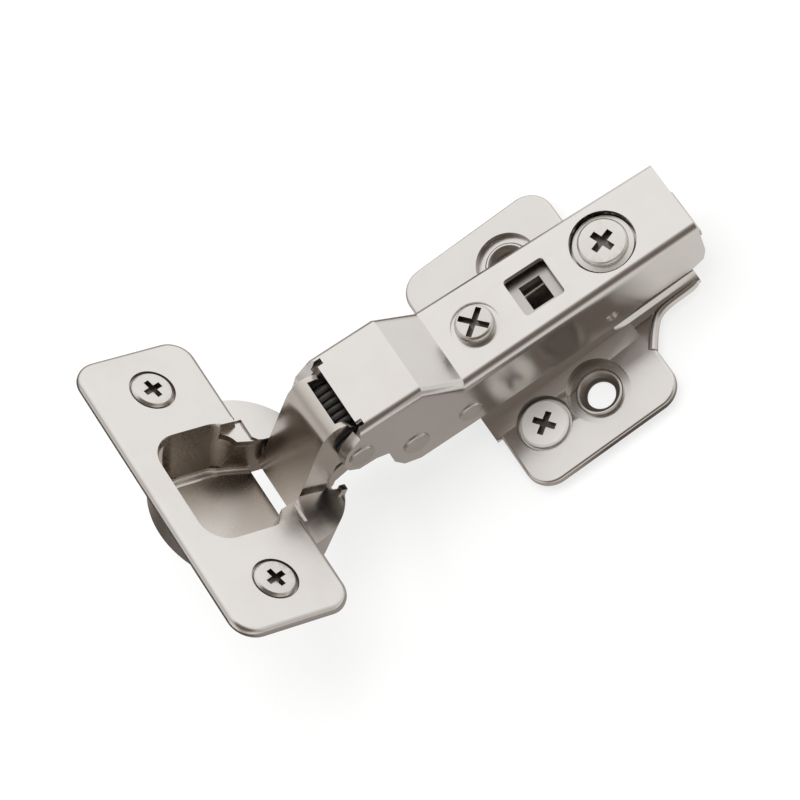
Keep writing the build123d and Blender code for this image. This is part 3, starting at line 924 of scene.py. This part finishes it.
@dataclass(frozen=True)
class CupLooks:
    """The drawn cup with its flange and two screws.

    Lengths are in millimetres in the flange's axes: X across the flange, Y along it and Z
    up from its top. Outlines are given for the +Y half.

    Attributes:
        screw_y: Distance of each screw from the middle.
        seat_reach: Half the width of the region of painted shade round a screw's seat.
        seat_depths: Lowest and highest point of the seat.
        recess_reach: Half the width of the region with a screw's cross recess, which gets painted
            shade.
        recess_depths: Lowest and highest point of the recess.
        shank: Radius of a screw's shank.
        crest: Radius of its thread.
        thread_foot: How far down the thread's foot lies in the shank.
        thread_half: Half the thread's width at its foot.
        lead: Rise of the thread in one turn.
        tip: End of the shank.
        thread_start: Distance of the thread from that end.
        head: Underside of the screw's head.
        steps: Number of steps in one turn of the thread.
        cup_at: Middle of the cup along X.
        wall_radii: Inner radius of a corner wall, its outer radius below and above.
        wall_heights: Its lowest and highest point.
        wall_turns: Where it starts and ends round the cup, in degrees.
        wall_steps: Number of steps between the two.
        corner_heights: Lowest and highest point of a flange corner.
        corner_low: Its outline below.
        corner_high: Its outline above.
        shoulder_heights: Lowest and highest point of a cheek shoulder.
        shoulder_outline: Its outline.
        floor: Height of the pocket's floor.
        fillet: Radius of the hollow round at the floor's edge.
        fillet_sink: How far that round is let into wall and floor.
        fillet_steps: Number of steps across it.
        lean: How far the pocket's wall leans out for each unit of height.
        lean_span: Where along X that lean starts to fade, and where it is gone.
        floor_edge: Edge of the pocket's floor.
    """

    screw_y: float = 22.5
    seat_reach: float = 4.6
    seat_depths: tuple[float, float] = (-1.0, -0.02)
    recess_reach: float = 2.2
    recess_depths: tuple[float, float] = (-1.15, 0.33)
    shank: float = 2.0
    crest: float = 2.35
    thread_foot: float = 0.12
    thread_half: float = 0.42
    lead: float = 1.6
    tip: float = -12.3
    thread_start: float = 0.5
    head: float = -2.2
    steps: int = 20
    cup_at: float = 9.5
    wall_radii: tuple[float, float, float] = (17.3, 17.6, 18.3)
    wall_heights: tuple[float, float] = (-3.1, -1.4)
    wall_turns: tuple[float, float] = (130.0, 168.0)
    wall_steps: int = 16
    corner_heights: tuple[float, float] = (-1.98, -0.01)
    corner_low: Outline = ((8.5, 11.42), (12.1, 11.25), (12.1, 12.4), (8.5, 12.4))
    corner_high: Outline = ((8.5, 11.42), (11.3, 11.3), (11.3, 12.4), (8.5, 12.4))
    shoulder_heights: tuple[float, float] = (-3.3, -1.97)
    shoulder_outline: Outline = (
        (8.6, 10.62), (9.2, 10.22), (9.8, 9.68), (10.25, 9.0), (10.6, 8.12), (15.45, 6.94),
        (15.45, 7.6), (9.8, 12.6), (8.6, 12.6),
    )
    floor: float = -10.3
    fillet: float = 1.15
    fillet_sink: float = 0.04
    fillet_steps: int = 8
    lean: float = 0.33
    lean_span: tuple[float, float] = (7.0, 9.0)
    floor_edge: Outline = (
        (-4.0, 0.0), (-4.0, 5.1), (-3.54, 6.8), (-2.3, 8.04), (-0.6, 8.5), (3.5, 8.5), (7.6, 8.5),
        (8.7, 8.3), (10.0, 8.15), (12.6, 7.55), (15.2, 6.95),
    )

    def build(self, shop: Workshop) -> None:
        """Dress the cup and its screws, and add what their solids leave out.

        Args:
            shop: The workshop with the finishes.
        """
        # Painted shade: the pocket and cheeks take the drawn plate with its darkening gradient,
        # the screw seats a darker copy of the plate, the cross recesses a still darker one.
        pocket = Region(FLANGE, (-7.6, -12.4, -10.6), (15.6, 12.4, -0.3), Surface.DRAWN_NICKEL_PAINTED_SHADE)
        cheeks = Region(FLANGE, (12.0, -7.1, -11.0), (27.2, 7.1, -0.3), Surface.DRAWN_NICKEL_PAINTED_SHADE)
        seats, recesses = [], []
        shaded, dark = Surface.PAINTED_SHADE_NICKEL, Surface.RECESS_PAINTED_SHADE
        for at in ((0.0, self.screw_y), (0.0, -self.screw_y)):
            seats.append(round_region(FLANGE, at, self.seat_reach, self.seat_depths, shaded))
            recesses.append(round_region(FLANGE, at, self.recess_reach, self.recess_depths, dark))
        shop.dress("hinge_cup", Surface.SATIN_NICKEL, 0.2, (pocket, cheeks, *seats))
        shop.dress("cup_screws", Surface.SCREW_NICKEL, 0.06, tuple(recesses))
        for side, hand in ((1, "left"), (-1, "right")):
            self.add_half(shop, side, hand)

    def add_half(self, shop: Workshop, side: int, hand: str) -> None:
        """Add the small pieces of one half of the cup.

        Args:
            shop: The workshop with the finishes.
            side: 1 for the +Y half of the cup, -1 for the other.
            hand: Name of that half.
        """
        # The corner walls, flange corners and cheek shoulders carry the drawn plate's painted
        # shade; the tops of the corners and shoulders take the plain satin plate.
        flange_top = Region(FLANGE, (8.0, -13.0, -0.4), (12.2, 13.0, 1.0), Surface.SATIN_NICKEL)
        ledge_top = Region(FLANGE, (8.0, -13.0, -2.2), (16.0, 13.0, -1.5), Surface.SATIN_NICKEL)
        thread = self.thread_mesh(f"{hand}_screw_thread", side * self.screw_y)
        shop.piece(thread.name, thread, Surface.SCREW_NICKEL, "cup")
        fillet = self.fillet_mesh(f"{hand}_pocket_fillet", side)
        shop.piece(fillet.name, fillet, Surface.BRIGHT_NICKEL, "cup")
        wall = self.corner_wall_mesh(f"{hand}_pocket_corner", side)
        shop.piece(wall.name, wall, Surface.DRAWN_NICKEL_PAINTED_SHADE, "cup")
        outlines = (self.corner_low, self.corner_high)
        corner = self.prism_mesh(f"{hand}_flange_corner", side, outlines, self.corner_heights)
        tip = shop.piece(corner.name, corner, Surface.DRAWN_NICKEL_PAINTED_SHADE, "cup")
        shop.paint_region(tip, flange_top)
        outlines = (self.shoulder_outline, self.shoulder_outline)
        shoulder = self.prism_mesh(
            f"{hand}_cheek_shoulder", side, outlines, self.shoulder_heights
        )
        ledge = shop.piece(shoulder.name, shoulder, Surface.DRAWN_NICKEL_PAINTED_SHADE, "cup")
        shop.paint_region(ledge, ledge_top)

    def thread_mesh(self, name: str, y: float) -> bpy.types.Mesh:
        """Wind a sharp thread round one screw shank.

        Args:
            name: Name of the mesh.
            y: Place of the screw along Y in millimetres.

        Returns:
            The mesh in the row frame.
        """
        place = FLANGE.matrix()
        count = int((self.head - self.tip) / self.lead * self.steps)
        half, foot = self.thread_half, -self.thread_foot
        profile = ((-half, foot), (0.0, self.crest - self.shank), (half, foot))
        rings: list[list[Vector]] = []
        for i in range(count + 1):
            turn = 2 * math.pi * i / self.steps
            height = self.tip + self.thread_start + i * self.lead / self.steps
            fade = min(1.0, i / self.steps, (count - i) / self.steps + 0.1)
            ring = []
            for dz, dr in profile:
                reach = self.shank + (dr * fade if dr > 0 else dr)
                across, along = reach * math.cos(turn), y + reach * math.sin(turn)
                ring.append(place @ Vector((across, along, height + dz * fade)))
            rings.append(ring)
        return ring_mesh(name, rings)

    def prism_mesh(
        self,
        name: str,
        side: int,
        outlines: tuple[Outline, Outline],
        heights: tuple[float, float],
    ) -> bpy.types.Mesh:
        """Raise a block on the flange between two outlines with equally many points.

        Args:
            name: Name of the mesh.
            side: 1 for the +Y half of the cup, -1 for the other.
            outlines: Its lower and upper outline in the flange's axes, in millimetres.
            heights: Their heights in the flange's axes.

        Returns:
            The mesh in the row frame.
        """
        place = FLANGE.matrix()
        rings = [
            [place @ Vector((x, side * y, height)) for x, y in outline]
            for outline, height in zip(outlines, heights)
        ]
        return ring_mesh(name, rings)

    def corner_wall_mesh(self, name: str, side: int) -> bpy.types.Mesh:
        """Close the cup's wall where the pocket's corner comes nearest to it, under the flange.

        Args:
            name: Name of the mesh.
            side: 1 for the +Y half of the cup, -1 for the other.

        Returns:
            The mesh in the row frame.
        """
        place = FLANGE.matrix()
        inner, outer_low, outer_high = self.wall_radii
        low, high = self.wall_heights
        corners = ((inner, low), (outer_low, low), (outer_high, high), (inner, high))
        first, last = self.wall_turns
        rings: list[list[Vector]] = []
        for i in range(self.wall_steps + 1):
            turn = math.radians(first + (last - first) * i / self.wall_steps)
            ring = []
            for radius, depth in corners:
                x = self.cup_at + radius * math.cos(turn)
                ring.append(place @ Vector((x, side * radius * math.sin(turn), depth)))
            rings.append(ring)
        return ring_mesh(name, rings)

    def fillet_mesh(self, name: str, side: int) -> bpy.types.Mesh:
        """Fill the corner between the pocket's wall and floor with a hollow round.

        Args:
            name: Name of the mesh.
            side: 1 for the +Y half of the pocket, -1 for the other.

        Returns:
            The mesh in the row frame.
        """
        place = FLANGE.matrix()
        path = smooth_path([Vector((x, side * y, self.floor)) for x, y in self.floor_edge], 2)
        lean_from, lean_to = self.lean_span
        sink = self.fillet_sink
        rings: list[list[Vector]] = []
        for i, corner in enumerate(path):
            ahead = (path[min(i + 1, len(path) - 1)] - path[max(i - 1, 0)]).normalized()
            inward = Vector((ahead.y, -ahead.x, 0.0)) * side
            left = (lean_to - corner.x) / (lean_to - lean_from)
            steep = self.lean * max(0.0, min(1.0, left))
            wall = Vector((0.0, 0.0, 1.0)) - inward * steep
            ring = [corner - inward * sink - Vector((0.0, 0.0, sink))]
            for k in range(self.fillet_steps + 1):
                turn = math.pi / 2 * k / self.fillet_steps
                step = inward * (1 - math.sin(turn)) + wall * (1 - math.cos(turn))
                ring.append(corner + step * self.fillet)
            rings.append([place @ point for point in ring])
        return ring_mesh(name, rings)


@dataclass(frozen=True)
class Lamp:
    """One square soft lamp.

    Attributes:
        name: Its name.
        place: Where it hangs, in metres.
        size: Its side in metres.
        power: Its power in watts.
    """

    name: str
    place: Place
    size: float
    power: float


@dataclass(frozen=True)
class Studio:
    """Floor, world, lamps and camera. Lengths are in metres.

    Attributes:
        eye: Place of the camera.
        right: Direction to the right in its picture.
        up: Direction up in its picture.
        lens: Its focal length in millimetres.
        sensor: Width of its sensor in millimetres.
        clip: Nearest and farthest distance that it sees.
        floor_half: Half the width of the floor.
        floor_drop: How far the floor lies below the plate.
        floor_colour: Colour of the floor.
        floor_glow: Share of plain white in the floor as the camera sees it.
        floor_span: Where the floor's tones start and end along X.
        floor_tones: Tones that the floor shows in the hinge's reflections.
        sky_cards: Aim of each pale card in the sky, and how far it is dimmed.
        shade_aim: Middle of the patch of sky that is dimmed.
        shade_span: Agreement with that aim where the dimming starts and is full.
        shade_depth: Full strength of the dimming.
        sky_tones: Tones of the sky, from away from its cards to the cards' middles.
        lamps: The soft lamps.
        lamp_aim: The point that they all face.
    """

    eye: Place = (0.0056, -0.3353, 0.7015)
    right: Place = (0.8103, -0.5087, -0.2910)
    up: Place = (0.5846, 0.7397, 0.3310)
    lens: float = 188.8
    sensor: float = 36.0
    clip: tuple[float, float] = (0.05, 10.0)
    floor_half: float = 1.5
    floor_drop: float = 0.0002
    floor_colour: Colour = (0.9, 0.9, 0.9)
    floor_glow: float = 0.72
    floor_span: tuple[float, float] = (-0.16, 0.16)
    floor_tones: Tones = (
        (0.02, (0.075, 0.062, 0.053)),
        (0.22, (0.27, 0.24, 0.215)),
        (0.40, (0.38, 0.35, 0.325)),
        (0.455, (0.36, 0.33, 0.305)),
        (0.485, (0.10, 0.082, 0.070)),
        (0.53, (0.12, 0.10, 0.086)),
        (0.565, (0.68, 0.655, 0.625)),
        (0.95, (0.86, 0.845, 0.825)),
    )
    sky_cards: tuple[tuple[Place, float], ...] = (
        ((0.46, 0.69, 0.55), 0.0),
        ((-0.10, -0.95, 0.22), 0.42),
        ((-0.90, 0.05, 0.25), 0.40),
        ((0.92, -0.25, 0.20), 0.48),
    )
    shade_aim: Place = (0.0, -0.43, 0.90)
    shade_span: tuple[float, float] = (0.72, 0.95)
    shade_depth: float = 0.4
    sky_tones: Tones = (
        (0.25, (0.13, 0.11, 0.092)),
        (0.52, (0.15, 0.125, 0.105)),
        (0.66, (0.36, 0.33, 0.30)),
        (0.80, (0.82, 0.805, 0.785)),
        (0.92, (1.0, 0.985, 0.97)),
    )
    lamps: tuple[Lamp, ...] = (
        Lamp("overhead", (0.02, 0.12, 0.75), 0.5, 3.4),
        Lamp("rear_left", (-0.45, 0.35, 0.5), 0.35, 2.2),
        Lamp("front_fill", (0.2, -0.6, 0.35), 0.4, 1.2),
    )
    lamp_aim: Place = (-0.025, 0.0, 0.015)

    def build(self) -> None:
        """Set up the whole studio."""
        self.add_floor()
        self.add_world()
        for lamp in self.lamps:
            self.hang(lamp)
        self.add_camera()
        bpy.context.scene.view_settings.view_transform = "Standard"

    def add_floor(self) -> None:
        """Lay a plain pale floor at the plate's underside."""
        mesh = bpy.data.meshes.new("floor")
        shape = bmesh.new()
        bmesh.ops.create_grid(shape, x_segments=2, y_segments=2, size=self.floor_half)
        shape.to_mesh(mesh)
        shape.free()
        floor = bpy.data.objects.new("floor", mesh)
        floor.location = (0.0, 0.0, -self.floor_drop)
        bpy.context.scene.collection.objects.link(floor)
        mesh.materials.append(self.floor_material())

    def floor_material(self) -> bpy.types.Material:
        """Make the floor's finish: nearly white to the camera, toned in reflections.

        Returns:
            The material.
        """
        material = bpy.data.materials.new("Pale floor")
        material.use_nodes = True
        lay = NodeLayout(material.node_tree)
        matt = lay.add("ShaderNodeBsdfDiffuse")
        matt.inputs["Color"].default_value = (*self.floor_colour, 1.0)
        glow = lay.add("ShaderNodeEmission")
        glow.inputs["Color"].default_value = WHITE
        path = lay.add("ShaderNodeLightPath")
        share = lay.calculate("MULTIPLY", path.outputs["Is Camera Ray"], self.floor_glow)
        seen = lay.mix_shaders(share, matt.outputs[0], glow.outputs[0])
        place = lay.add("ShaderNodeNewGeometry")
        split = lay.add("ShaderNodeSeparateXYZ")
        lay.join(place.outputs["Position"], split.inputs[0])
        along = lay.rescale(split.outputs["X"], self.floor_span)
        card = lay.add("ShaderNodeEmission")
        lay.join(lay.ramp(along, self.floor_tones), card.inputs["Color"])
        finish = lay.mix_shaders(path.outputs["Is Glossy Ray"], seen, card.outputs[0])
        outlet = lay.add("ShaderNodeOutputMaterial")
        lay.join(finish, outlet.inputs[0])
        return material

    def add_world(self) -> None:
        """Make a dim warm sky with one large pale card and three dimmer ones round the hinge."""
        world = bpy.data.worlds.new("Studio")
        world.use_nodes = True
        bpy.context.scene.world = world
        lay = NodeLayout(world.node_tree)
        coords = lay.add("ShaderNodeTexCoord").outputs["Generated"]
        cards = []
        for aim, drop in self.sky_cards:
            cards.append(lay.calculate("SUBTRACT", lay.facing(coords, aim), drop))
        brightest = cards[0]
        for card in cards[1:]:
            brightest = lay.calculate("MAXIMUM", brightest, card)
        near_aim = lay.facing(coords, self.shade_aim)
        depth = lay.rescale(near_aim, self.shade_span, (0.0, self.shade_depth), "SMOOTHSTEP")
        dimmed = lay.calculate("SUBTRACT", brightest, depth)
        height = lay.rescale(dimmed, (-1.0, 1.0))
        soft = lay.add("ShaderNodeBackground")
        lay.join(lay.ramp(height, self.sky_tones), soft.inputs["Color"])
        white = lay.add("ShaderNodeBackground")
        white.inputs["Color"].default_value = WHITE
        path = lay.add("ShaderNodeLightPath")
        sky = lay.mix_shaders(path.outputs["Is Camera Ray"], soft.outputs[0], white.outputs[0])
        outlet = lay.add("ShaderNodeOutputWorld")
        lay.join(sky, outlet.inputs[0])

    def hang(self, lamp: Lamp) -> None:
        """Add one lamp that faces the hinge and isn't mirrored in it.

        Args:
            lamp: The lamp.
        """
        data = bpy.data.lights.new(lamp.name, "AREA")
        data.shape = "SQUARE"
        data.size = lamp.size
        data.energy = lamp.power
        thing = bpy.data.objects.new(lamp.name, data)
        thing.location = lamp.place
        aim = Vector(self.lamp_aim) - Vector(lamp.place)
        thing.rotation_euler = aim.to_track_quat("-Z", "Y").to_euler()
        thing.visible_glossy = False
        bpy.context.scene.collection.objects.link(thing)

    def add_camera(self) -> None:
        """Place the camera at the photograph's angle."""
        data = bpy.data.cameras.new("Photo angle")
        data.lens = self.lens
        data.sensor_width = self.sensor
        data.clip_start, data.clip_end = self.clip
        camera = bpy.data.objects.new("Photo angle", data)
        right = Vector(self.right).normalized()
        up = Vector(self.up)
        up = (up - right * up.dot(right)).normalized()
        back = right.cross(up)
        turn = Matrix((right, up, back)).transposed().to_4x4()
        camera.matrix_world = Matrix.Translation(self.eye) @ turn
        bpy.context.scene.collection.objects.link(camera)
        bpy.context.scene.camera = camera


def main() -> None:
    """Build the hinge's looks and the studio."""
    logging.basicConfig(level=logging.INFO, format="%(name)s: %(message)s")
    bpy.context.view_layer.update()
    shop = Workshop()
    for looks in (PlateLooks(), PlainLooks(), ArmScrewLooks(), CupLooks()):
        looks.build(shop)
    Studio().build()
    bpy.context.view_layer.update()


if __name__ == "__main__":
    main()
